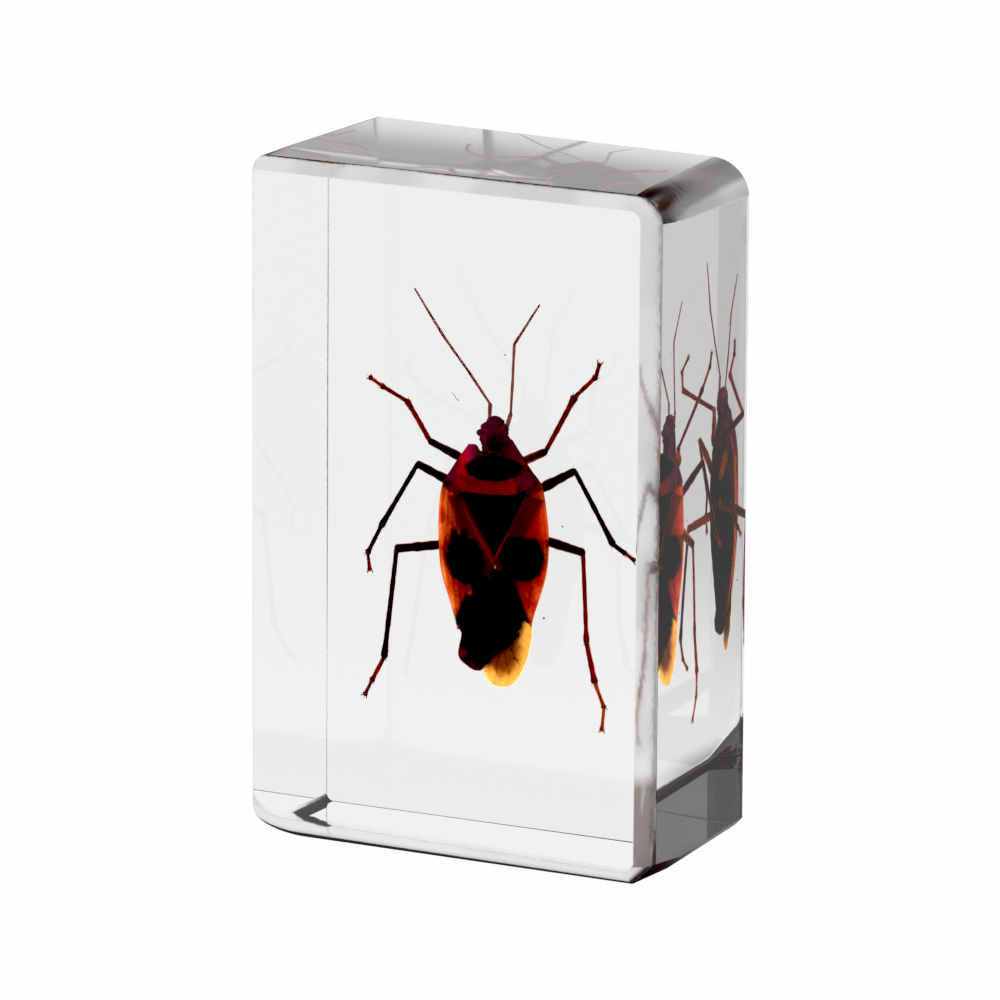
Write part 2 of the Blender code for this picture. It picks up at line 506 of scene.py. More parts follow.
# Stations down the body, each with its value: (v, value)
BACK_RIDGE = ((-8.6, 0.30), (-5.0, 0.75), (-1.0, 1.15), (3.0, 1.30), (4.5, 1.30), (6.5, 0.80), (7.5, 0.6))
BACK_LEFT = ((-8.6, -1.2), (-6.5, -2.75), (-5.0, -2.72), (-3.4, -3.10), (-1.3, -3.67), (0.7, -3.76),
             (2.6, -3.68), (4.3, -3.38), (5.4, -2.7), (6.1, -2.2), (7.0, -1.5))
BACK_RIGHT = ((-8.6, 0.6), (-7.3, 1.74), (-6.2, 2.15), (-4.3, 2.44), (-2.4, 3.10), (-0.9, 3.54), (1.0, 3.73),
              (3.0, 3.62), (4.6, 3.34), (5.5, 2.7), (6.2, 2.25), (7.5, 1.40))
TRUNK_LEFT = ((-7.3, -1.75), (-6.6, -2.35), (-5.5, -2.3), (-3.4, -2.6), (-1.3, -3.1), (0.7, -3.25),
              (2.6, -3.2), (4.3, -2.9), (5.6, -2.2), (6.6, -1.2))
TRUNK_RIGHT = ((-7.3, -0.8), (-6.6, 0.1), (-6.0, 1.1), (-4.6, 1.75), (-2.4, 2.65), (-0.9, 3.05), (1.0, 3.2),
               (3.0, 3.15), (4.6, 2.9), (5.6, 2.3), (6.6, 1.3))
BELLY_DEPTH = ((-7.3, 0.45), (-4.0, 0.9), (0.0, 1.1), (4.0, 1.2), (6.6, 0.8))
BACK_ROUNDNESS = 3.2
TRUNK_FRONT = 6.6
TRUNK_HIND = -7.3
TRUNK_GAP = 0.16
TRUNK_BLUNTNESS = 0.45
TRUNK_GRID = (110, 72)
BELLY_FLATNESS = 0.7
TRUNK_LEAST_HEIGHT = 0.25
BELLY_RING_DEPTH = 0.03
BELLY_RING_STEP = 1.15
BELLY_RINGS_BEHIND = 2.5
# how far up a face looks, below which it belongs to the belly here and to the underside of a thin plate
BELLY_FACING = 0.25
UNDERSIDE_FACING = -0.3
# colours against the light, with the bare one in front light
TRUNK_PALE = (0.85, 0.55, 0.38)
TRUNK_RED = (0.66, 0.34, 0.22)
TRUNK_BARE = (0.10, 0.02, 0.01)
BELLY_PALE = (0.44, 0.22, 0.12)
BELLY_RED = (0.34, 0.13, 0.06)
BELLY_BARE = (0.012, 0.008, 0.008)
# painted shade: the belly's glow as seen from outside
BELLY_OUTSIDE_SHADE = (0.015, 0.004, 0.002)
# the breast is a patch: its middle, reach, softness, raggedness and grain. The tail starts at a line.
BREAST = ((0.1, 6.0), (2.6, 2.6), 0.3, 0.3, 1.0)
TAIL_LINE = ((3.0, -4.6), (-3.0, -5.0))
TAIL_SOFTNESS = 0.5
BREAST_RED = (0.16, 0.01, 0.01)
TAIL_RED = (0.10, 0.01, 0.01)


def read_line(points, at, column=1):
    """Reads a smooth line through points, each a position with its values. It is level past its ends."""
    if at <= points[0][0]:
        return points[0][column]
    if at >= points[-1][0]:
        return points[-1][column]
    after = next(index for index, point in enumerate(points) if point[0] > at)
    near = [points[min(max(after + step, 0), len(points) - 1)] for step in (-2, -1, 0, 1)]
    (before_x, before_y), (x0, y0), (x1, y1), (next_x, next_y) = ((point[0], point[column]) for point in near)
    slope0 = (y1 - before_y) / (x1 - before_x)
    slope1 = (next_y - y0) / (next_x - x0)
    span = x1 - x0
    share = (at - x0) / span
    bend = (y0 - y1) * 2 + (slope0 + slope1) * span
    rise = (y1 - y0) * 3 - (slope0 * 2 + slope1) * span
    return y0 + share * (slope0 * span + share * (rise + share * bend))


def back_height(u, v):
    """Height of the back's surface over the margins."""
    left = read_line(BACK_LEFT, v)
    right = read_line(BACK_RIGHT, v)
    aside = min(abs(2 * u - left - right) / max(right - left, 0.1), 1)
    return read_line(BACK_RIDGE, v) * (1 - aside ** BACK_ROUNDNESS)


def closed_form(bm, rings, around, place):
    """A closed form: place(along, turn) gives its points, along from 0 to 1 and turn a full angle."""
    made = bmesh.ops.create_uvsphere(bm, u_segments=around, v_segments=rings, radius=1)["verts"]
    spots = []
    for vert in made:
        along = math.acos(max(-1.0, min(1.0, vert.co.z))) / math.pi
        spots.append((vert, place(along, math.atan2(vert.co.y, vert.co.x))))
    for vert, spot in spots:
        vert.co = spot
    return made


def body_point(along, turn, front, hind, left_edge, right_edge, bluntness):
    """The u and v of a point on a long closed body, and how much of its thickness it has there."""
    v = front - (front - hind) * (1 - math.cos(along * math.pi)) / 2
    pinch = math.sin(along * math.pi) ** bluntness
    left = read_line(left_edge, v)
    right = read_line(right_edge, v)
    return (left + right) / 2 + (right - left) / 2 * math.cos(turn) * pinch, v, pinch


def finish_on_bug(name, bm, slot, *materials, underside=None, below=UNDERSIDE_FACING):
    """Lays a piece of the bug in its place. The plan layer keeps each point's u, v and w.

    Faces whose upright part is under below get the underside's material.
    """
    bmesh.ops.recalc_face_normals(bm, faces=bm.faces[:])
    if bm.calc_volume(signed=True) < 0:
        bmesh.ops.reverse_faces(bm, faces=bm.faces[:])
    plan = bm.verts.layers.float_vector.new("plan")
    for vert in bm.verts:
        vert[plan] = vert.co
    if underside is not None:
        for face in bm.faces:
            if face.normal.z < below:
                face.material_index = underside
    bmesh.ops.transform(bm, matrix=BUG_PLACE, verts=bm.verts)
    piece = finish(name, bm, *materials)
    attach(piece, "root")


class BugPaint(Paint):
    """The paint of one skin of the bug, with its patterns laid out on the plan."""

    def __init__(self, name):
        super().__init__(bpy.data.materials.new(name))
        self.plan = self.add("Attribute", attribute_name="plan")["Vector"]

    def noise(self, size, detail=3, stretch=(1, 1, 1)):
        """Soft spots about size millimetres apart."""
        scale = tuple(1 / (size * part) for part in stretch)
        return self.cloud(self.vector("MULTIPLY", self.plan, scale), 1, detail)

    def patch(self, middle, reach, soft, ragged, size):
        """1 inside an oval and 0 outside it, with a ragged edge."""
        off = self.vector("SUBTRACT", self.plan, (*middle, 0))
        off = self.vector("MULTIPLY", off, (1 / reach[0], 1 / reach[1], 0))
        far = self.math("MULTIPLY_ADD", self.noise(size), ragged, self.vector("LENGTH", off))
        return self.change(far, 1 + ragged / 2 + soft, 1 + ragged / 2 - soft)

    def stripe(self, start, end, half_width, soft):
        """1 along a straight line and 0 away from it."""
        run = Vector((end[0] - start[0], end[1] - start[1], 0))
        off = self.vector("SUBTRACT", self.plan, (*start, 0))
        along = self.vector("DOT_PRODUCT", off, tuple(run / run.length_squared))
        aside = self.vector("DOT_PRODUCT", off, (-run.y / run.length, run.x / run.length, 0))
        on = self.change(self.math("ABSOLUTE", aside), half_width + soft, max(half_width - soft, 0))
        return self.times(self.times(on, self.change(along, -0.02, 0.02)), self.change(along, 1.02, 0.98))

    def side_of(self, start, end, soft):
        """1 on the right of the line from start to end and 0 on its left."""
        run = Vector((end[0] - start[0], end[1] - start[1], 0)).normalized()
        off = self.vector("SUBTRACT", self.plan, (*start, 0))
        return self.change(self.vector("DOT_PRODUCT", off, (run.y, -run.x, 0)), -soft, soft)

    def most(self, *masks):
        result = masks[0]
        for mask in masks[1:]:
            result = self.math("MAXIMUM", result, mask)
        return result

    def marks(self, *marks):
        """Patches, of five values each, and stripes, of four, as one mask."""
        return self.most(*(self.patch(*mark) if len(mark) == 5 else self.stripe(*mark) for mark in marks))

    def over(self, ground, *coats):
        """Coats over a ground, each a mask and a colour."""
        for mask, colour in coats:
            ground = self.blend(mask, ground, colour)
        return ground

    def inside_only(self, dark, glow):
        """A glow that can be seen from inside the piece only. From outside it is dark, which is painted
        shade.
        """
        return self.blend(self.add("NewGeometry")["Backfacing"], dark, glow)

    def skin(self, glow, surface, clear=0.85, roughness=0.45, relief=None, depth=0.02, specular=0.02):
        """Finishes a horny skin: glow is its colour against the light, surface its colour in front light."""
        front = {"Base Color": surface, "Roughness": roughness, "Specular IOR Level": specular}
        if relief is not None:
            bump = {"Strength": 0.6, "Distance": depth * MM, "Height": relief}
            front["Normal"] = self.add("Bump", bump)[0]
        front = self.add("BsdfPrincipled", front)[0]
        through = self.add("BsdfTranslucent", {"Color": glow})[0]
        return self.finished(self.add("MixShader", {0: clear, 1: front, 2: through})[0])


def trunk_spot(along, turn):
    u, v, pinch = body_point(along, turn, TRUNK_FRONT, TRUNK_HIND, TRUNK_LEFT, TRUNK_RIGHT, TRUNK_BLUNTNESS)
    rise = math.sin(turn)
    if rise > 0:
        w = (max(back_height(u, v), TRUNK_LEAST_HEIGHT) - TRUNK_GAP) * rise ** 0.5 * pinch
    else:
        ring = BELLY_RING_DEPTH * math.sin(v * 2 * math.pi / BELLY_RING_STEP) if v < BELLY_RINGS_BEHIND else 0
        w = -(read_line(BELLY_DEPTH, v) + ring) * (-rise) ** BELLY_FLATNESS * pinch
    return Vector((u, v, w))


def trunk_top_skin():
    paint = BugPaint("trunk_top")
    glow = paint.blend(paint.noise(0.7, 4), TRUNK_PALE, TRUNK_RED)
    return paint.skin(glow, TRUNK_BARE, clear=0.92, relief=paint.noise(0.2))


def trunk_belly_skin():
    """Dark from outside, with painted shade. From inside it is pale in the middle, and dark red at the breast
    and the tail.
    """
    paint = BugPaint("trunk_belly")
    glow = paint.blend(paint.noise(0.9, 4), BELLY_PALE, BELLY_RED)
    glow = paint.blend(paint.marks(BREAST), paint.inside_only(BELLY_OUTSIDE_SHADE, glow), BREAST_RED)
    glow = paint.blend(paint.side_of(*TAIL_LINE, TAIL_SOFTNESS), TAIL_RED, glow)
    return paint.skin(glow, BELLY_BARE, clear=0.9, relief=paint.noise(0.25))


bm = bmesh.new()
closed_form(bm, *TRUNK_GRID, trunk_spot)
finish_on_bug("trunk", bm, "insect_cuticle", trunk_top_skin(), trunk_belly_skin(),
              underside=1, below=BELLY_FACING)


# ----------------------------------------
# Fore wings, leathery part. One curved plate on each side, from under the neck shield to the side of the
# tail. Orange-red and finely streaked, with a ragged black spot and a dark strip along the scutellum. The
# thin outer edge glows paler, because no body lies under it.
# ----------------------------------------
WING_THICKNESS = 0.05
WING_CURL = 0.05
WING_RIPPLE = 0.02
CURL_WIDTH = 1.1
WING_GRID = (60, 130)
# the size of each pattern in millimetres, and where its spots begin and end
STREAK_SIZE = 0.34
STREAK_EDGE = (0.42, 0.62)
CLOUD_SIZE = 1.3
CLOUD_EDGE = (0.46, 0.66)
PIT_SIZE = 0.13
PIT_EDGE = (0.48, 0.66)
WING_RIM = (0.35, 0.95)
# how strong each coat of colour is
WINDOW_STRENGTH = 0.25
VEIL_STRENGTH = 0.75
STRIP_STRENGTH = 0.94
CLOUD_STRENGTH = 0.9
PIT_STRENGTH = 0.6
EDGE_STRENGTH = 0.8
SEAM_STRENGTH = 0.9
PIT_RELIEF = 0.7
# Each wing: its inner edge from the front (0) to the tip (1), as (share, u, v); its outer edge, with the v of
# its two ends; two reds; and its markings. Patches have five values, as above, and stripes have four: start,
# end, half width and softness.
WINGS = {
    "wing_left": {
        "inner": ((0, -1.45, 4.0), (0.45, 0.22, 0.20), (0.56, 0.16, -0.75), (0.68, -0.45, -2.15),
                  (0.80, -1.25, -3.25), (0.92, -2.15, -4.35), (1, -2.50, -5.02)),
        "outer": BACK_LEFT,
        "front": 4.75,
        "tip": -5.06,
        "reds": ((0.50, 0.058, 0.008), (0.70, 0.185, 0.050)),
        "spot": (
            ((-1.82, -0.40), (1.36, 1.62), 0.12, 0.50, 0.35),
            ((-2.46, 0.75), (0.36, 0.90), 0.30, 0.55, 0.25),
            ((-1.84, 0.80), (0.34, 0.85), 0.30, 0.55, 0.25),
        ),
        "window": ((-2.45, 0.45), (-2.15, -0.95), 0.10, 0.10),
        "veil": ((-2.45, 0.1), (0.75, 1.2), 0.35, 0.5, 0.35),
        "tongue": (
            ((-0.35, -1.5), (-1.55, -3.1), 0.30, 0.16),
            ((-1.35, -2.8), (-2.45, -4.9), 0.62, 0.16),
            ((-0.80, -2.15), (0.65, 0.95), 0.15, 0.4, 0.3),
        ),
        "strip": ((-2.10, 3.9), (-0.55, -0.6), 0.78, 0.24),
        "seam": ((-1.72, 2.9), (0.10, -0.42), 0.03, 0.04),
    },
    "wing_right": {
        "inner": ((0, 2.25, 4.2), (0.45, 0.24, 0.20), (0.56, 0.30, -0.75), (0.68, 1.20, -2.05),
                  (0.80, 1.52, -3.10), (0.92, 1.98, -4.15), (1, 2.38, -4.62)),
        "outer": BACK_RIGHT,
        "front": 4.95,
        "tip": -4.66,
        "reds": ((0.38, 0.026, 0.006), (0.50, 0.070, 0.030)),
        "spot": (
            ((2.05, -0.15), (1.46, 1.48), 0.12, 0.40, 0.35),
            ((1.35, 0.75), (0.62, 0.55), 0.30, 0.5, 0.3),
            ((2.75, 0.75), (0.50, 0.50), 0.35, 0.5, 0.3),
        ),
        "window": ((1.0, 0.9), (0.25, 0.4), 0.4, 0.5, 0.3),
        "veil": ((1.75, 1.9), (0.72, 1.5), 0.45, 0.7, 0.4),
        "tongue": (
            ((0.60, -0.95), (1.30, -2.0), 0.42, 0.14),
            ((1.25, -1.7), (2.05, -4.4), 0.30, 0.14),
        ),
        "strip": ((2.90, 3.9), (0.95, -0.1), 0.66, 0.28),
        "seam": ((2.40, 3.9), (0.14, -0.34), 0.04, 0.045),
    },
}
BETWEEN_WINGS = ((0.1, -1.0), (1.9, 1.55), 0.35, 0.5, 0.5)
CLOUD_RED = (0.22, 0.008, 0.003)
PIT_RED = (0.15, 0.004, 0.002)
EDGE_ORANGE = (0.36, 0.075, 0.010)
MAROON = (0.085, 0.0015, 0.003)
SEAM_ORANGE = (0.42, 0.055, 0.006)
WING_BLACK = (0.002, 0.001, 0.001)
# the wing's colours in front light
BARE_RED = (0.30, 0.03, 0.006)
BARE_ORANGE = (0.42, 0.06, 0.01)
BARE_BLACK = (0.008, 0.007, 0.008)
LINING_PALE = (1.0, 0.95, 0.88)
LINING_CREAM = (0.98, 0.88, 0.78)
# painted shade: the lining's glow as seen from below
LINING_OUTSIDE_SHADE = (0.03, 0.014, 0.010)
LINING_BARE = (0.35, 0.12, 0.06)


def plate(across, down, place, thickness, rim=0.3):
    """A thin plate: place(side, fore) gives its points, both from 0 to 1. The rim layer is 1 at its edge."""
    bm = bmesh.new()
    edge = bm.verts.layers.float.new("rim")
    made = bmesh.ops.create_grid(bm, x_segments=across, y_segments=down, size=0.5)["verts"]
    spots = [(vert, vert.co.x + 0.5, vert.co.y + 0.5) for vert in made]
    for vert, side, fore in spots:
        vert.co = place(side, fore)
    outline = [vert.co.copy() for vert in made if vert.is_boundary]
    tree = KDTree(len(outline))
    for index, spot in enumerate(outline):
        tree.insert(spot, index)
    tree.balance()
    for vert in made:
        vert[edge] = max(0.0, 1 - tree.find(vert.co)[2] / rim)
    faces = bm.faces[:]
    bmesh.ops.recalc_face_normals(bm, faces=faces)
    if sum(face.normal.z for face in faces) < 0:
        bmesh.ops.reverse_faces(bm, faces=faces)
    bmesh.ops.solidify(bm, geom=faces, thickness=thickness)
    return bm


def wing_spot(side, fore, wing):
    run = 1 - fore
    u0 = read_line(wing["inner"], run)
    v0 = read_line(wing["inner"], run, column=2)
    v1 = wing["front"] + (wing["tip"] - wing["front"]) * run
    u = u0 + (read_line(wing["outer"], v1) - u0) * side
    v = v0 + (v1 - v0) * side
    curl = WING_CURL * math.sin(math.pi * min(side * CURL_WIDTH, 1))
    ripple = WING_RIPPLE * noise.noise(Vector((u, v * 0.5, 3.0)))
    return Vector((u, v, back_height(u, v) + curl + ripple))


def wing_skin(name, wing):
    """Streaked orange-red leather with the black markings of one side."""
    paint = BugPaint(name)
    streaks = paint.noise(STREAK_SIZE, 4, (1, 8, 1))
    clouds = paint.noise(CLOUD_SIZE, 5)
    pits = paint.noise(PIT_SIZE, 2)
    window = paint.times(paint.marks(wing["window"]), WINDOW_STRENGTH)
    spot = paint.math("SUBTRACT", paint.marks(*wing["spot"]), window)
    black = paint.most(spot, paint.marks(*wing["tongue"]))
    maroon = paint.most(
        paint.times(paint.marks(wing["veil"]), VEIL_STRENGTH),
        paint.times(paint.marks(wing["strip"]), STRIP_STRENGTH),
        paint.marks(BETWEEN_WINGS),
    )
    glow = paint.over(
        paint.blend(paint.change(streaks, *STREAK_EDGE), *wing["reds"]),
        (paint.times(paint.change(clouds, *CLOUD_EDGE), CLOUD_STRENGTH), CLOUD_RED),
        (paint.times(paint.change(pits, *PIT_EDGE), PIT_STRENGTH), PIT_RED),
        (paint.times(paint.change(paint.layer("rim"), *WING_RIM), EDGE_STRENGTH), EDGE_ORANGE),
        (maroon, MAROON),
        (paint.times(paint.marks(wing["seam"]), SEAM_STRENGTH), SEAM_ORANGE),
        (black, WING_BLACK),
    )
    bare = paint.blend(streaks, BARE_RED, BARE_ORANGE)
    surface = paint.blend(paint.most(black, maroon), bare, BARE_BLACK)
    relief = paint.math("ADD", streaks, paint.times(pits, PIT_RELIEF))
    return paint.skin(glow, surface, clear=0.9, roughness=0.5, relief=relief)


def wing_lining():
    """The underside of the fore wings. It lets nearly all light through, and painted shade makes it dark from
    below.
    """
    paint = BugPaint("wing_lining")
    glow = paint.blend(paint.noise(0.5), LINING_PALE, LINING_CREAM)
    return paint.skin(paint.inside_only(LINING_OUTSIDE_SHADE, glow), LINING_BARE, clear=0.96)


lining = wing_lining()
for name, wing in WINGS.items():
    bm = plate(*WING_GRID, lambda side, fore: wing_spot(side, fore, wing), WING_THICKNESS)
    finish_on_bug(name, bm, "insect_wing", wing_skin(name, wing), lining, underside=1)


# ----------------------------------------
# Wing membranes. The thin ends of the fore wings, folded over each other on the tail. The upper one is
# black at its base and clear amber with brown veins at its tip. On the left the lower one, folded double,
# shows as a dark lobe with a red rim.
# ----------------------------------------
MEMBRANE_THICKNESS = 0.03
UPPER_LEFT = ((-8.62, 0.05), (-8.45, -0.40), (-8.0, -0.80), (-7.3, -1.00), (-6.0, -1.60), (-4.5, -1.90),
              (-3.0, -1.10), (-2.0, -0.40), (-0.8, 0.15))
UPPER_RIGHT = ((-8.62, 0.40), (-8.45, 0.95), (-8.0, 1.35), (-7.3, 1.77), (-6.2, 2.16), (-4.6, 2.42),
               (-4.1, 1.98), (-3.1, 1.55), (-2.1, 1.22), (-0.8, 0.35))
LOWER_LEFT = ((-7.65, -1.6), (-7.5, -1.98), (-7.15, -2.48), (-6.75, -2.70), (-6.2, -2.62), (-5.3, -2.40),
              (-4.95, -2.55), (-4.4, -2.30), (-3.3, -1.45), (-2.2, -0.60), (-1.0, 0.0))
LOWER_RIGHT = ((-7.65, -1.2), (-7.5, -0.95), (-7.0, -0.5), (-6.0, 0.6), (-4.0, 1.4), (-2.2, 0.9), (-1.0, 0.4))
# how deep each one lies under the back's surface
UPPER_DEPTH = 0.02
LOWER_DEPTH = 0.10
MEMBRANE_RIPPLE = 0.035
RIPPLES = (7.0, 1.5)
UPPER_GRID = (70, 130)
LOWER_GRID = (60, 100)
UPPER_RIM_WIDTH = 0.3
LOWER_RIM_WIDTH = 0.2
AMBER_RIM_EDGE = (0.72, 1.0)
LOBE_EDGE = (0.42, 0.62)
LOBE_RIM_EDGE = (0.45, 0.95)
VEIN_EDGE = (0.30, 0.0)
BROWN_STRENGTH = 0.85
VEIN_FAN = (0.6, -3.6, 0)
VEINS_ROUND = 16.0
UPPER_BROWN = ((0.35, -6.0), (1.25, 1.75), 0.30, 0.45, 0.35)
UPPER_BLACK = (
    ((-0.25, -3.45), (2.32, 2.60), 0.10, 0.35, 0.5),
    ((0.35, -5.35), (0.85, 0.75), 0.15, 0.5, 0.35),
    ((-0.95, -5.9), (0.80, 1.35), 0.15, 0.5, 0.35),
    ((0.1, -0.9), (1.3, 0.9), 0.10, 0.3, 0.3),
)
LOWER_BLACK = ((-0.6, -4.4), (2.3, 2.45), 0.12, 0.35, 0.4)
AMBER_PALE = (0.74, 0.54, 0.25)
AMBER_DEEP = (0.62, 0.36, 0.11)
AMBER_RIM = (0.84, 0.70, 0.46)
MEMBRANE_BROWN = (0.16, 0.045, 0.006)
VEIN_BROWN = (0.10, 0.020, 0.002)
UPPER_INK = (0.004, 0.001, 0.001)
LOWER_INK = (0.003, 0.001, 0.001)
LOBE_BLACK = (0.020, 0.001, 0.001)
LOBE_RED = (0.17, 0.006, 0.002)
LOBE_RIM = (0.34, 0.055, 0.008)
UPPER_BARE = (0.30, 0.13, 0.03)
UPPER_BARE_BLACK = (0.010, 0.009, 0.010)
LOWER_BARE = (0.03, 0.008, 0.006)
LOWER_BARE_RED = (0.06, 0.012, 0.008)


def membrane_spot(side, fore, left_edge, right_edge, depth):
    run = 1 - fore
    tip, base = left_edge[0][0], left_edge[-1][0]
    v = base + (tip - base) * (run * 0.35 + 0.65 * math.sin(run * math.pi / 2))
    u = read_line(left_edge, v) * (1 - side) + read_line(right_edge, v) * side
    ripple = MEMBRANE_RIPPLE * math.sin(RIPPLES[0] * u + RIPPLES[1] * v) * min(1, max(0, (-4 - v) / 3))
    return Vector((u, v, back_height(u, v) - depth + ripple))


def upper_membrane_skin():
    """Amber with veins that fan out from the base, brown towards the base and black on it."""
    paint = BugPaint("membrane_upper")
    fan = paint.add("SeparateXYZ", {0: paint.vector("SUBTRACT", paint.plan, VEIN_FAN)})
    angle = paint.math("ARCTAN2", fan["X"], paint.times(fan["Y"], -1))
    angle = paint.math("MULTIPLY_ADD", paint.noise(0.9), 0.35, angle)
    veins = paint.math("ABSOLUTE", paint.math("SINE", paint.times(angle, VEINS_ROUND)))
    veins = paint.change(veins, *VEIN_EDGE)
    brown = paint.marks(UPPER_BROWN)
    black = paint.marks(*UPPER_BLACK)
    glow = paint.over(
        paint.blend(paint.noise(0.5, 4), AMBER_PALE, AMBER_DEEP),
        (paint.change(paint.layer("rim"), *AMBER_RIM_EDGE), AMBER_RIM),
        (paint.times(brown, BROWN_STRENGTH), MEMBRANE_BROWN),
        (paint.times(veins, paint.math("MULTIPLY_ADD", brown, 0.55, 0.25)), VEIN_BROWN),
        (black, UPPER_INK),
    )
    surface = paint.blend(black, UPPER_BARE, UPPER_BARE_BLACK)
    return paint.skin(glow, surface, clear=0.93, roughness=0.35, relief=veins, specular=0.4)


def lower_membrane_skin():
    paint = BugPaint("membrane_lower")
    mottle = paint.noise(0.45, 4)
    glow = paint.over(
        paint.blend(paint.change(mottle, *LOBE_EDGE), LOBE_BLACK, LOBE_RED),
        (paint.marks(LOWER_BLACK), LOWER_INK),
        (paint.change(paint.layer("rim"), *LOBE_RIM_EDGE), LOBE_RIM),
    )
    surface = paint.blend(mottle, LOWER_BARE, LOWER_BARE_RED)
    return paint.skin(glow, surface, clear=0.9, roughness=0.4, relief=mottle)


bm = plate(*LOWER_GRID, lambda side, fore: membrane_spot(side, fore, LOWER_LEFT, LOWER_RIGHT, LOWER_DEPTH),
           MEMBRANE_THICKNESS, LOWER_RIM_WIDTH)
finish_on_bug("membrane_lower", bm, "insect_membrane", lower_membrane_skin())
bm = plate(*UPPER_GRID, lambda side, fore: membrane_spot(side, fore, UPPER_LEFT, UPPER_RIGHT, UPPER_DEPTH),
           MEMBRANE_THICKNESS, UPPER_RIM_WIDTH)
finish_on_bug("membrane_upper", bm, "insect_membrane", upper_membrane_skin())


# ----------------------------------------
# Scutellum. The black triangle between the wings, a separate plate of the back with its point to the
# rear, set a little proud of the wings and edged with dark red.
# ----------------------------------------
SCUTELLUM_LEFT = ((0.0, 0.18), (0.2, 0.10), (1.2, -0.50), (2.4, -1.10), (3.7, -1.72), (4.1, -1.80))
SCUTELLUM_RIGHT = ((0.0, 0.22), (0.2, 0.32), (1.2, 0.95), (2.4, 1.62), (3.9, 2.42), (4.1, 2.5))
SCUTELLUM_LENGTH = 4.1
SCUTELLUM_THICKNESS = 0.07
SCUTELLUM_HOLLOW = 0.1
SCUTELLUM_PROUD = 0.03
SCUTELLUM_SWELL = 0.14
SCUTELLUM_GRID = (48, 64)
SCUTELLUM_RIM_WIDTH = 0.2
SCUTELLUM_RIM_EDGE = (0.45, 0.95)
SCUTELLUM_BLACK = (0.002, 0.001, 0.001)
SCUTELLUM_EDGE = (0.07, 0.002, 0.002)
SCUTELLUM_BARE = (0.006, 0.005, 0.006)
SCUTELLUM_GRAIN = (0.014, 0.012, 0.013)


def scutellum_spot(side, fore):
    v = SCUTELLUM_LENGTH * fore
    left = read_line(SCUTELLUM_LEFT, v)
    right = read_line(SCUTELLUM_RIGHT, v)
    u = left + (right - left) * side
    v -= SCUTELLUM_HOLLOW * math.sin(math.pi * side)
    swell = math.sin(math.pi * min(max(side, 0), 1)) ** 0.6 * math.sin(math.pi * min(fore * 0.9, 1)) ** 0.5
    return Vector((u, v, back_height(u, v) + SCUTELLUM_PROUD + SCUTELLUM_SWELL * swell))


def scutellum_skin():
    paint = BugPaint("scutellum")
    edge = paint.change(paint.layer("rim"), *SCUTELLUM_RIM_EDGE)
    glow = paint.blend(edge, SCUTELLUM_BLACK, SCUTELLUM_EDGE)
    grain = paint.noise(0.14)
    surface = paint.blend(grain, SCUTELLUM_BARE, SCUTELLUM_GRAIN)
    return paint.skin(glow, surface, clear=0.8, roughness=0.55, relief=grain, specular=0.2)


bm = plate(*SCUTELLUM_GRID, scutellum_spot, SCUTELLUM_THICKNESS, SCUTELLUM_RIM_WIDTH)
finish_on_bug("scutellum", bm, "insect_cuticle", scutellum_skin())


# ----------------------------------------
# Neck shield (pronotum). The wide plate behind the head: dark red sides, a black oval across its
# front half, purple-dark hind corners, and an orange band along its hind edge, over the wings.
# ----------------------------------------
SHIELD_HIND_V = ((0, 4.30), (0.10, 4.0), (0.25, 3.78), (0.55, 3.70), (0.80, 3.84), (0.92, 4.10), (1, 4.42))
SHIELD_FRONT_V = ((0, 7.02), (0.18, 7.05), (0.32, 6.72), (0.55, 6.62), (0.75, 6.80), (0.90, 7.3), (1, 7.45))
SHIELD_THICKNESS = 0.08
SHIELD_GRID = (90, 60)
SHIELD_RIM_WIDTH = 0.2
SHIELD_PROUD = 0.10
# the hump under the black oval (u, v) and the groove behind it (v): height and reach of each
HUMP_MIDDLE = (0.3, 5.6)
HUMP_REACH = (1.7, 0.55)
HUMP_HEIGHT = 0.16
GROOVE_V = 4.75
GROOVE_REACH = 0.16
GROOVE_DEPTH = 0.09
ROLL_DOWN = 0.10
ROLLED_SHARE = 0.12
HIND_LIP = 0.12
MOTTLE_EDGE = (0.44, 0.60)
GRAIN_EDGE = (0.50, 0.66)
BAND_SPOTS_EDGE = (0.42, 0.60)
GRAIN_STRENGTH = 0.45
PURPLE_STRENGTH = 0.9
SHOULDER_STRENGTH = 0.5
HIND_BAND = ((0.25, 4.35), (2.75, 0.42), 0.45, 0.9, 0.30)
BRIGHT_SHOULDER = ((-1.75, 6.35), (0.65, 0.55), 0.4, 0.5, 0.35)
PURPLE_PARTS = (
    ((-3.1, 4.85), (0.85, 0.72), 0.40, 0.8, 0.35),
    ((2.75, 5.15), (0.95, 0.95), 0.40, 0.8, 0.35),
    ((2.2, 4.4), (0.35, 0.5), 0.35, 0.6, 0.35),
    ((0.65, 6.60), (1.95, 0.85), 0.35, 0.7, 0.35),
)
BLACK_OVAL = ((0.28, 5.62), (1.92, 0.80), 0.10, 0.30, 0.45)
SHIELD_DEEP = (0.17, 0.0012, 0.034)
SHIELD_RED = (0.40, 0.009, 0.032)
SHIELD_GRAIN = (0.10, 0.001, 0.030)
BAND_ORANGE = (0.56, 0.085, 0.010)
SHOULDER_RED = (0.44, 0.010, 0.026)
SHIELD_PURPLE = (0.072, 0.010, 0.038)
OVAL_BLACK = (0.001, 0.001, 0.001)
SHIELD_BARE = (0.22, 0.015, 0.006)
SHIELD_BARE_BLACK = (0.010, 0.008, 0.010)


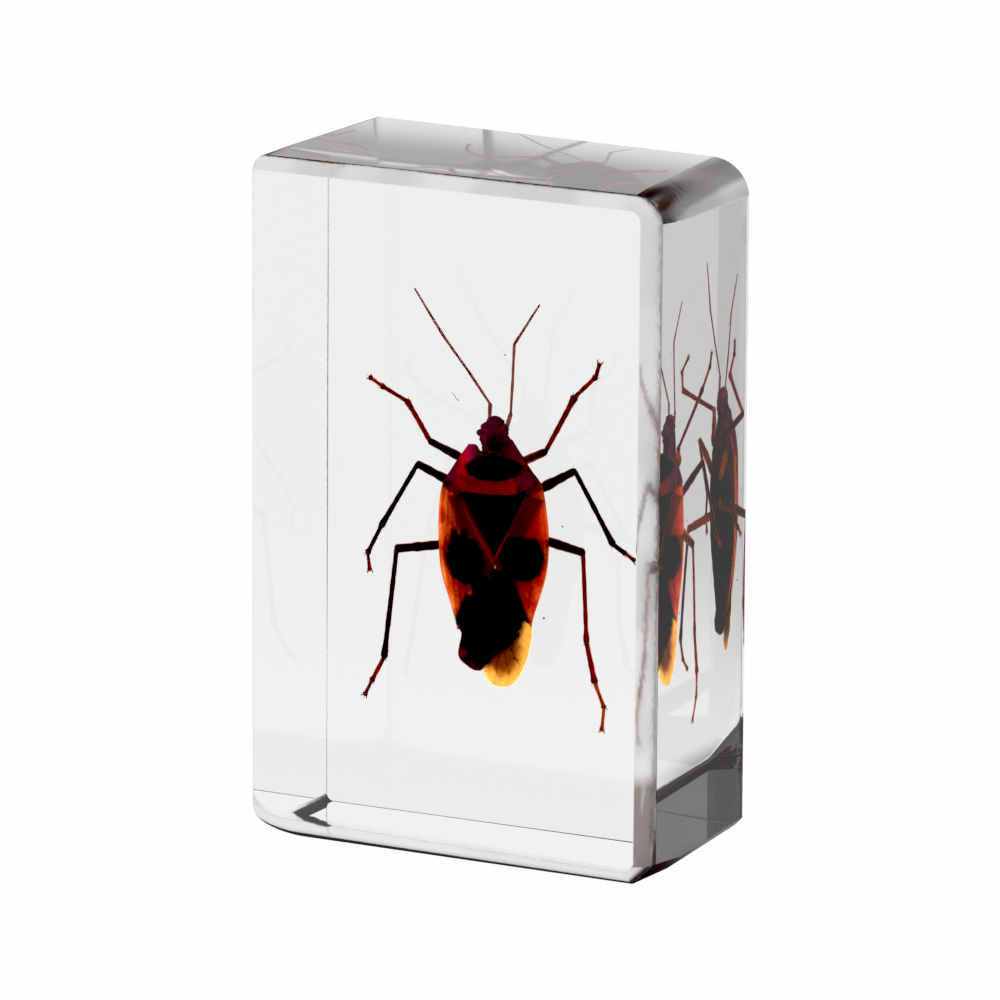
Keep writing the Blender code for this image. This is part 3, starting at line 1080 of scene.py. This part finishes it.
def shield_spot(side, fore):
    hind_v = read_line(SHIELD_HIND_V, side)
    v = hind_v + (read_line(SHIELD_FRONT_V, side) - hind_v) * fore
    left = read_line(BACK_LEFT, v)
    u = left + (read_line(BACK_RIGHT, v) - left) * side
    ends = min(side, 1 - side) * 2
    off_u, off_v = (u - HUMP_MIDDLE[0]) / HUMP_REACH[0], (v - HUMP_MIDDLE[1]) / HUMP_REACH[1]
    hump = HUMP_HEIGHT * math.exp(-off_v ** 2) * math.exp(-off_u ** 4)
    groove = GROOVE_DEPTH * math.exp(-((v - GROOVE_V) / GROOVE_REACH) ** 2) * min(ends * 2, 1)
    down = ROLL_DOWN * (1 - min(ends / ROLLED_SHARE, 1)) ** 2 + HIND_LIP * (1 - fore) ** 6
    return Vector((u, v, back_height(u, v) + SHIELD_PROUD + hump - groove - down))


def shield_skin():
    paint = BugPaint("pronotum")
    mottle = paint.noise(0.55, 5)
    fine = paint.noise(0.15)
    band_spots = paint.math("MULTIPLY_ADD", paint.change(fine, *BAND_SPOTS_EDGE), 0.45, 0.45)
    purple = paint.times(paint.marks(*PURPLE_PARTS), PURPLE_STRENGTH)
    oval = paint.marks(BLACK_OVAL)
    glow = paint.over(
        paint.blend(paint.change(mottle, *MOTTLE_EDGE), SHIELD_DEEP, SHIELD_RED),
        (paint.times(paint.change(fine, *GRAIN_EDGE), GRAIN_STRENGTH), SHIELD_GRAIN),
        (paint.times(paint.marks(HIND_BAND), band_spots), BAND_ORANGE),
        (paint.times(paint.marks(BRIGHT_SHOULDER), SHOULDER_STRENGTH), SHOULDER_RED),
        (purple, SHIELD_PURPLE),
        (oval, OVAL_BLACK),
    )
    surface = paint.blend(paint.most(oval, purple), SHIELD_BARE, SHIELD_BARE_BLACK)
    relief = paint.math("ADD", mottle, fine)
    return paint.skin(glow, surface, clear=0.88, roughness=0.5, relief=relief)


bm = plate(*SHIELD_GRID, shield_spot, SHIELD_THICKNESS, SHIELD_RIM_WIDTH)
finish_on_bug("pronotum", bm, "insect_cuticle", shield_skin(), lining, underside=1)


# ----------------------------------------
# Head. A short wedge with a lumpy front and a bulging compound eye on each side. Dark maroon, nearly
# black in the middle.
# ----------------------------------------
HEAD_LEFT = ((6.4, -0.90), (7.0, -0.66), (7.6, -0.72), (8.1, -0.58), (8.5, -0.36), (8.85, 0.0))
HEAD_RIGHT = ((6.4, 1.75), (7.0, 1.48), (7.6, 1.20), (8.1, 1.12), (8.5, 0.98), (8.85, 0.5))
HEAD_FRONT = 8.85
HEAD_HIND = 6.3
HEAD_MIDDLE = -0.15
HEAD_BLUNTNESS = 0.4
HEAD_GRID = (64, 64)
HEAD_EDGE = (0.42, 0.66)
HEAD_DARKNESS = 0.85
HEAD_ABOVE = 0.55
HEAD_BELOW = 0.85
# lumps: their height, how many there are to the millimetre, and where their pattern starts
HEAD_LUMPS = ((0.16, 2.6, Vector((0, 0, 0))), (0.10, 5, Vector((0, 0, 4))))
HEAD_DARK = ((0.4, 7.1), (0.62, 0.70), 0.4, 0.6, 0.4)
HEAD_MAROON = (0.20, 0.070, 0.125)
HEAD_PURPLE = (0.34, 0.080, 0.190)
HEAD_BLACK = (0.05, 0.004, 0.012)
HEAD_BARE = (0.010, 0.006, 0.007)
HEAD_BARE_RED = (0.035, 0.006, 0.008)
CELLS_TO_THE_MM = 14
CELL_PALE = (0.60, 0.16, 0.34)
CELL_DEEP = (0.34, 0.09, 0.20)
CELL_BARE_RED = (0.03, 0.008, 0.008)
CELL_BARE = (0.008, 0.004, 0.005)
# middle and reach of each eye
EYES = {
    "eye_left": (Vector((-0.66, 7.74, -0.1)), Vector((0.31, 0.24, 0.34))),
    "eye_right": (Vector((0.90, 7.50, -0.45)), Vector((0.22, 0.28, 0.32))),
}
FACETS_ACROSS_EYE = 9
EYE_GRID = (32, 32)
FACET_DEPTH = 0.02


def head_spot(along, turn):
    u, v, pinch = body_point(along, turn, HEAD_FRONT, HEAD_HIND, HEAD_LEFT, HEAD_RIGHT, HEAD_BLUNTNESS)
    height = HEAD_ABOVE if math.sin(turn) > 0 else HEAD_BELOW
    spot = Vector((u, v, HEAD_MIDDLE + height * math.sin(turn) * pinch))
    lump = sum(rise * noise.noise(spot * scale + aside) for rise, scale, aside in HEAD_LUMPS) * pinch
    return spot + Vector((math.cos(turn), 0.3 * math.cos(along * math.pi), math.sin(turn))) * lump


def ball_spot(along, turn):
    """A point on a ball with a radius of 1, whose poles are ahead and behind."""
    around = math.sin(along * math.pi)
    return Vector((around * math.cos(turn), math.cos(along * math.pi), around * math.sin(turn)))


def eye_spot(along, turn, middle, reach):
    out = ball_spot(along, turn)
    return middle + out * reach * (1 + FACET_DEPTH * noise.noise(out * FACETS_ACROSS_EYE))


def head_skin():
    paint = BugPaint("head")
    mottle = paint.noise(0.3, 4)
    glow = paint.blend(paint.change(mottle, *HEAD_EDGE), HEAD_MAROON, HEAD_PURPLE)
    glow = paint.blend(paint.times(paint.marks(HEAD_DARK), HEAD_DARKNESS), glow, HEAD_BLACK)
    surface = paint.blend(mottle, HEAD_BARE, HEAD_BARE_RED)
    return paint.skin(glow, surface, relief=mottle)


def eye_skin():
    paint = BugPaint("eye")
    cells = {"Vector": paint.vector("MULTIPLY", paint.plan, (CELLS_TO_THE_MM,) * 3), "Scale": 1}
    cell = paint.add("TexVoronoi", cells)["Distance"]
    glow = paint.blend(cell, CELL_PALE, CELL_DEEP)
    surface = paint.blend(cell, CELL_BARE_RED, CELL_BARE)
    return paint.skin(glow, surface, clear=0.75, roughness=0.3, relief=cell, depth=0.01)


bm = bmesh.new()
closed_form(bm, *HEAD_GRID, head_spot)
finish_on_bug("head", bm, "insect_cuticle", head_skin())
eye_material = eye_skin()
for name, (middle, reach) in EYES.items():
    bm = bmesh.new()
    closed_form(bm, *EYE_GRID, lambda along, turn: eye_spot(along, turn, middle, reach))
    finish_on_bug(name, bm, "insect_cuticle", eye_material)


# ----------------------------------------
# Antennae. Two thin feelers of four jointed segments each, red-brown and stiff; the first is short and
# thick. Each one grows out of a knob at the side of the head's front.
# ----------------------------------------
# the joints of each feeler (u, v, w), and the radius of each segment at both ends
FEELERS = {
    "antenna_left": ((-0.15, 8.45, -0.60), (-0.05, 9.55, -0.50), (-1.45, 11.60, -0.50),
                     (-3.05, 13.79, -0.41), (-4.81, 16.80, 0.0)),
    "antenna_right": ((0.95, 7.95, -0.55), (1.33, 8.98, -0.40), (1.60, 11.20, -0.05),
                      (1.84, 13.56, 0.22), (3.62, 16.15, 0.28)),
}
FEELER_RADII = ((0.12, 0.15), (0.088, 0.100), (0.080, 0.098), (0.100, 0.06))
FEELER_BOW = 0.02
FEELER_BAND = 0.92
FEELER_BARE = (0.016, 0.006, 0.006)
FEELER_GLOW = (0.42, 0.22, 0.20)
# painted rim light where a feeler's outline is seen edge-on
FEELER_RIM_LIGHT = (0.45, 0.24, 0.20)
KNOB_RADIUS = 0.21
KNOB_LENGTH = 0.1
# how far a segment runs past its joints, as a share of its radius there
LAP = 0.6
# lumps: their height as a share of the radius, and how many there are to the millimetre
LIMB_LUMPS = ((0.16, 2.1), (0.06, 7))
# where along a limb its flare is widest and how long that is, as shares of its length
FLARE_AT = 0.95
FLARE_REACH = 0.07
BAND_SIZE = 0.6
BAND_EDGE = (0.40, 0.65)
# the facing over which the painted rim light comes in
RIM_LIGHT_EDGE = (0.12, 0.45)
BARE_GRAIN = 1.8


def limb_ways(start, end):
    """The directions ahead along a limb, to its side and out of its top."""
    ahead = (end - start).normalized()
    side = ahead.cross(Vector((0, 0, 1))).normalized()
    return ahead, side, side.cross(ahead).normalized()


def give_skin(verts, skin):
    for face in {face for vert in verts for face in vert.link_faces}:
        face.material_index = skin


def limb(bm, start, end, start_radius, end_radius, rings=28, around=16, bow=0.0, belly=0.0,
         flare=0.0, skin=0):
    """A horny limb segment from joint to joint, whose round ends lap over its neighbours.

    bow bends it, belly thickens its middle, and flare widens its last tenth like the end of a shin.
    """
    start, end = Vector(start), Vector(end)
    ahead, side, up = limb_ways(start, end)
    start -= ahead * start_radius * LAP
    end += ahead * end_radius * LAP
    run = end - start
    length = run.length

    def spot(along, turn):
        share = (1 - math.cos(along * math.pi)) / 2
        radius = start_radius + (end_radius - start_radius) * share + belly * math.sin(share * math.pi)
        radius += flare * math.exp(-((share - FLARE_AT) / FLARE_REACH) ** 2)
        near_end = min(share * length / start_radius, (1 - share) * length / end_radius, 1)
        centre = start + run * share + up * bow * math.sin(share * math.pi)
        radius *= 1 + sum(rise * noise.noise(centre * scale) for rise, scale in LIMB_LUMPS)
        radius *= math.sqrt(max(0.0, 1 - (1 - near_end) ** 2))
        return centre + (side * math.cos(turn) + up * math.sin(turn)) * radius

    give_skin(closed_form(bm, rings, around, spot), skin)


def limb_skin(name, bare, middle_glow, rim_light_glow, band):
    """Black or brown horn with darker bands. Its thin edges let some orange light through, and where its
    outline is seen edge-on it has painted rim light.
    """
    paint = BugPaint(name)
    grain = paint.noise(0.12)
    bands = paint.change(paint.noise(BAND_SIZE), *BAND_EDGE)
    # painted rim light: orange where the limb's outline is seen edge-on
    edge = paint.change(paint.add("LayerWeight", {"Blend": 0.25})["Facing"], *RIM_LIGHT_EDGE)
    glow = paint.blend(bands, middle_glow, tuple(part * band for part in middle_glow))
    glow = paint.blend(edge, glow, rim_light_glow)
    clear = paint.math("MULTIPLY_ADD", edge, 0.25, 0.7)
    surface = paint.blend(grain, bare, tuple(part * BARE_GRAIN for part in bare))
    return paint.skin(glow, surface, clear=clear, roughness=0.42, relief=grain, depth=0.01)


feeler_skin = limb_skin("feeler", FEELER_BARE, FEELER_GLOW, FEELER_RIM_LIGHT, FEELER_BAND)
for name, joints in FEELERS.items():
    bm = bmesh.new()
    knob = Vector(joints[0])
    knob_end = knob + (Vector(joints[1]) - knob).normalized() * KNOB_LENGTH
    limb(bm, knob, knob_end, KNOB_RADIUS, KNOB_RADIUS, rings=20)
    for start, end, (near, far) in zip(joints, joints[1:], FEELER_RADII):
        limb(bm, start, end, near, far, rings=40, around=14, bow=FEELER_BOW)
    finish_on_bug(name, bm, "insect_cuticle", feeler_skin)


# ----------------------------------------
# Legs. Three pairs: hip, thigh, shin with spurs at its end, a foot of jointed parts, two claws and fine
# bristles. Black horn, except for the hind right shin and foot, which dried red and amber.
# ----------------------------------------
# each leg: its joints (u, v, w) from the hip to the end of the foot, and for each segment from the thigh on
# its radius at both ends and its skin (0 black, 1 red-brown, 2 amber)
LEGS = {
    "leg_fore_left": (
        ((-1.2, 5.5, -1.0), (-4.02, 7.13, 0.60), (-6.15, 9.13, -3.00), (-7.73, 10.15, -2.30),
         (-8.25, 10.80, -1.10)),
        ((0.27, 0.22, 0), (0.16, 0.18, 1), (0.13, 0.15, 1), (0.11, 0.13, 1)),
    ),
    "leg_fore_right": (
        ((1.5, 5.70, -1.0), (3.86, 6.90, 1.05), (5.42, 10.10, -1.80), (6.87, 11.45, -1.86),
         (7.12, 12.25, -1.92)),
        ((0.28, 0.22, 0), (0.16, 0.19, 1), (0.13, 0.15, 1), (0.12, 0.14, 1)),
    ),
    "leg_mid_left": (
        ((-1.2, 3.5, -1.15), (-5.21, 5.39, -1.02), (-7.41, 1.57, 1.27), (-8.35, -0.2, 1.55),
         (-8.25, -1.25, 1.6)),
        ((0.31, 0.24, 0), (0.15, 0.17, 0), (0.13, 0.14, 0), (0.11, 0.13, 1)),
    ),
    "leg_mid_right": (
        ((1.4, 3.3, -1.15), (5.24, 5.33, -2.06), (7.65, 0.72, -2.16), (8.45, 0.20, -2.10),
         (9.05, -0.20, -2.04)),
        ((0.33, 0.25, 0), (0.16, 0.18, 0), (0.15, 0.14, 0), (0.11, 0.13, 1)),
    ),
    "leg_hind_left": (
        ((-1.3, 0.6, -1.05), (-7.00, -0.30, -1.81), (-8.24, -7.55, -2.43), (-9.00, -9.02, -1.70),
         (-9.35, -9.83, -0.90)),
        ((0.29, 0.27, 0), (0.16, 0.18, 0), (0.14, 0.15, 1), (0.11, 0.13, 1)),
    ),
    "leg_hind_right": (
        ((1.4, 1.4, -1.05), (6.05, 0.45, 0.34), (6.05, -5.40, 0.0), (6.52, -7.94, -0.03),
         (7.22, -9.45, 0.64), (7.13, -10.8, 1.20)),
        ((0.31, 0.28, 0), (0.15, 0.15, 1), (0.16, 0.21, 1), (0.13, 0.14, 2), (0.10, 0.12, 2)),
    ),
}
# each horn's colour in front light, its glow, its painted rim light where its outline is seen edge-on, and
# how bright its dark bands are beside it
LEG_HORNS = {
    "leg_horn": ((0.011, 0.008, 0.009), (0.05, 0.010, 0.010), (0.72, 0.24, 0.06), 0.45),
    "leg_red_horn": ((0.022, 0.006, 0.006), (0.36, 0.060, 0.050), (0.66, 0.22, 0.07), 0.65),
    "leg_amber_horn": ((0.06, 0.02, 0.008), (0.54, 0.17, 0.055), (0.86, 0.44, 0.17), 0.65),
}
# the hip's knob: its radius at both ends, and how far it runs in and up from the hip joint and out of it
HIP_RADIUS = 0.42
HIP_END_RADIUS = 0.3
HIP_IN = 0.3
HIP_UP = Vector((0, 0, 0.2))
HIP_OUT = 0.5
THIGH_BELLY = 0.03
THIGH_BOW = 0.08
SHIN_BOW = -0.05
SHIN_FLARE = 0.07
PAD_LENGTH = 0.12
PAD_RADII = (0.09, 0.05)
CLAW_LENGTH = 0.42
CLAW_RADIUS = 0.035
CLAW_BEND_AT = 0.55
# a claw's radius at its root and tip, as shares of its radius at the bend
CLAW_ROOT = 1.5
CLAW_TIP = 0.3
CLAW_AHEAD = 0.6
CLAW_ASIDE = 0.8
HOOK_AHEAD = 0.9
HOOK_BACK = 0.1
HOOK_DOWN = Vector((0, 0, 0.5))
SPINE_TIP = 0.15
SPURS = 5
SPUR_TURN = 1.26
SPUR_LENGTH = 0.28
SPUR_RADIUS = 0.035
SPUR_ROOT = 0.6
SPUR_OUT = 0.7
BRISTLE_TURN = 2.4
BRISTLE_LENGTH = 0.30
BRISTLE_RADIUS = 0.012
BRISTLE_STEP = 0.16
BRISTLE_ROOT = 0.7
BRISTLE_LEAN = 0.9
# a bristle's usual length and how much it varies, as shares of BRISTLE_LENGTH
BRISTLE_USUAL = 0.7
BRISTLE_VARIETY = 0.5


def claws(bm, end, before):
    """Two thin hooked claws that spread at the end of the foot, with a pad between them."""
    end = Vector(end)
    ahead, aside, _ = limb_ways(Vector(before), end)
    limb(bm, end, end + ahead * PAD_LENGTH, *PAD_RADII, rings=10, around=10, skin=1)
    for side in (-1, 1):
        bend = end + (ahead * CLAW_AHEAD + aside * side * CLAW_ASIDE) * CLAW_LENGTH * CLAW_BEND_AT
        hook = ahead * HOOK_AHEAD - aside * side * HOOK_BACK - HOOK_DOWN
        tip = bend + hook * CLAW_LENGTH * (1 - CLAW_BEND_AT)
        limb(bm, end, bend, CLAW_RADIUS * CLAW_ROOT, CLAW_RADIUS, rings=12, around=8, skin=1)
        limb(bm, bend, tip, CLAW_RADIUS, CLAW_RADIUS * CLAW_TIP, rings=12, around=8, skin=1)


def spine(bm, root, way, length, radius, skin):
    """A short stiff spine, thickest at its root."""
    turn = way.to_track_quat("Z", "Y").to_matrix().to_4x4()
    place = Matrix.Translation(root + way.normalized() * length / 2) @ turn
    made = bmesh.ops.create_cone(bm, cap_ends=True, cap_tris=True, segments=5, radius1=radius,
                                 radius2=radius * SPINE_TIP, depth=length, matrix=place)
    give_skin(made["verts"], skin)


def ruff(bm, start, end, radius, seed, skin):
    """Bristles along a shin or foot segment, leaning towards its end, and spurs round that end."""
    start, end = Vector(start), Vector(end)
    ahead, side, up = limb_ways(start, end)
    count = int((end - start).length / BRISTLE_STEP)
    for index in range(count):
        turn = seed + index * BRISTLE_TURN
        out = side * math.cos(turn) + up * math.sin(turn)
        root = start + (end - start) * ((index + 0.5) / count) + out * radius * BRISTLE_ROOT
        length = BRISTLE_LENGTH * (BRISTLE_USUAL + BRISTLE_VARIETY * noise.noise(root * 3))
        spine(bm, root, out + ahead * BRISTLE_LEAN, length, BRISTLE_RADIUS, skin)
    for index in range(SPURS):
        turn = seed + index * SPUR_TURN
        out = side * math.cos(turn) + up * math.sin(turn)
        spine(bm, end + out * radius * SPUR_ROOT, out * SPUR_OUT + ahead, SPUR_LENGTH, SPUR_RADIUS, skin)


leg_skins = [limb_skin(name, *colours) for name, colours in LEG_HORNS.items()]
for seed, (name, (joints, segments)) in enumerate(LEGS.items()):
    bm = bmesh.new()
    hip, knee = Vector(joints[0]), Vector(joints[1])
    outward = (knee - hip).normalized()
    limb(bm, hip - outward * HIP_IN + HIP_UP, hip + outward * HIP_OUT, HIP_RADIUS, HIP_END_RADIUS)
    near, far, skin = segments[0]
    limb(bm, hip + outward * HIP_IN, knee, near, far, rings=48, around=24, belly=THIGH_BELLY,
         bow=THIGH_BOW, skin=skin)
    for start, end, (near, far, skin) in zip(joints[1:], joints[2:], segments[1:]):
        rings, bow = (64, SHIN_BOW) if start is joints[1] else (30, 0.0)
        limb(bm, start, end, near, far, rings=rings, around=20, bow=bow, flare=SHIN_FLARE, skin=skin)
        ruff(bm, start, end, far, seed + near * 40, skin)
    claws(bm, joints[-1], joints[-2])
    finish_on_bug(name, bm, "insect_cuticle", *leg_skins)


# ----------------------------------------
# Grit in the resin. Three dark specks and one short curled hair that fell in before it set, all about as
# deep in the block as the bug's back.
# ----------------------------------------
# middle (u, v, w) and radius of each speck
SPECKS = (
    (Vector((3.29, -3.94, 0.4)), 0.065),
    (Vector((4.71, 2.03, 0.3)), 0.05),
    (Vector((1.18, 12.84, 0.2)), 0.045),
)
SPECK_LUMPS = 0.5
SPECK_GRID = (12, 16)
HAIR = ((-2.50, 10.25, 0.1), (-2.30, 10.05, 0.15), (-2.22, 9.85, 0.1), (-2.05, 9.75, 0.0))
HAIR_RADIUS = 0.018
GRIT_DARK = (0.03, 0.026, 0.022)
GRIT_PALE = (0.08, 0.07, 0.06)
GRIT_BARE_DARK = (0.03, 0.028, 0.026)
GRIT_BARE_PALE = (0.09, 0.085, 0.08)


def speck_spot(along, turn, middle, radius):
    out = ball_spot(along, turn).xzy
    return middle + out * radius * (1 + SPECK_LUMPS * noise.noise(out * 1.7 + middle))


def grit_skin():
    paint = BugPaint("grit")
    grain = paint.noise(0.05)
    glow = paint.blend(grain, GRIT_DARK, GRIT_PALE)
    surface = paint.blend(grain, GRIT_BARE_DARK, GRIT_BARE_PALE)
    return paint.skin(glow, surface, clear=0.3, roughness=0.7, relief=grain, depth=0.005)


bm = bmesh.new()
for middle, radius in SPECKS:
    closed_form(bm, *SPECK_GRID, lambda along, turn: speck_spot(along, turn, middle, radius))
for start, end in zip(HAIR, HAIR[1:]):
    limb(bm, start, end, HAIR_RADIUS, HAIR_RADIUS, rings=10, around=8)
finish_on_bug("grit", bm, "insect_cuticle", grit_skin())
